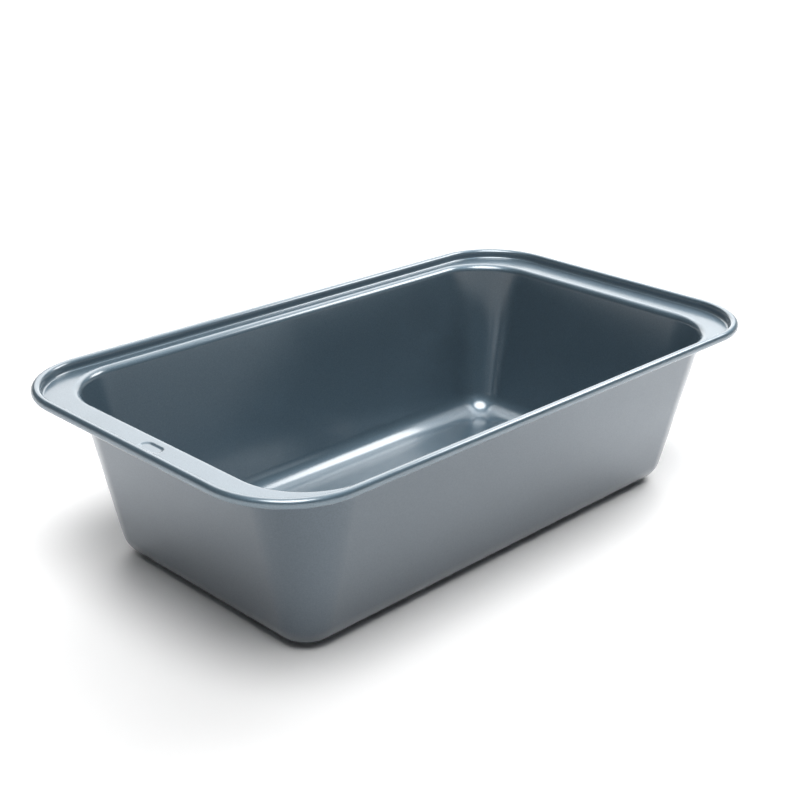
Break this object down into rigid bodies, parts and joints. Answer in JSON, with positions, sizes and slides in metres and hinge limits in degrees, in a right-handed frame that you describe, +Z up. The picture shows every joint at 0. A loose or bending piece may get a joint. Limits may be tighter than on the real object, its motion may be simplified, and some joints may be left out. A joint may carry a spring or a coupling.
{
  "type": "loaf pan",
  "caption": "Deep rectangular loaf pan of pressed sheet steel with flared walls, rounded corners, a flat flange and a rim rolled round a wire, dark inside and grey outside.",
  "frame": {"origin": "middle of the underside of the floor, on the surface the pan stands on", "axes": "+X along the pan's length, towards the plain end flange; +Y along its width; +Z up, towards the open mouth"},
  "size_m": [0.2614, 0.1492, 0.07],
  "materials": {
    "sheet_steel": "bare cold-rolled sheet, seen only at the cut edge of the roll",
    "rim_wire_steel": "drawn wire, dull",
    "nonstick_coat": "satin slate-blue nonstick coat with a fine metallic flake",
    "outer_coat": "satin silver-grey coat with a fine metallic flake"
  },
  "bodies": {
    "root": {"pan_shell": "sheet_steel", "rim_wire": "rim_wire_steel", "nonstick_coating": "nonstick_coat", "outer_coating": "outer_coat"}
  },
  "joints": []
}
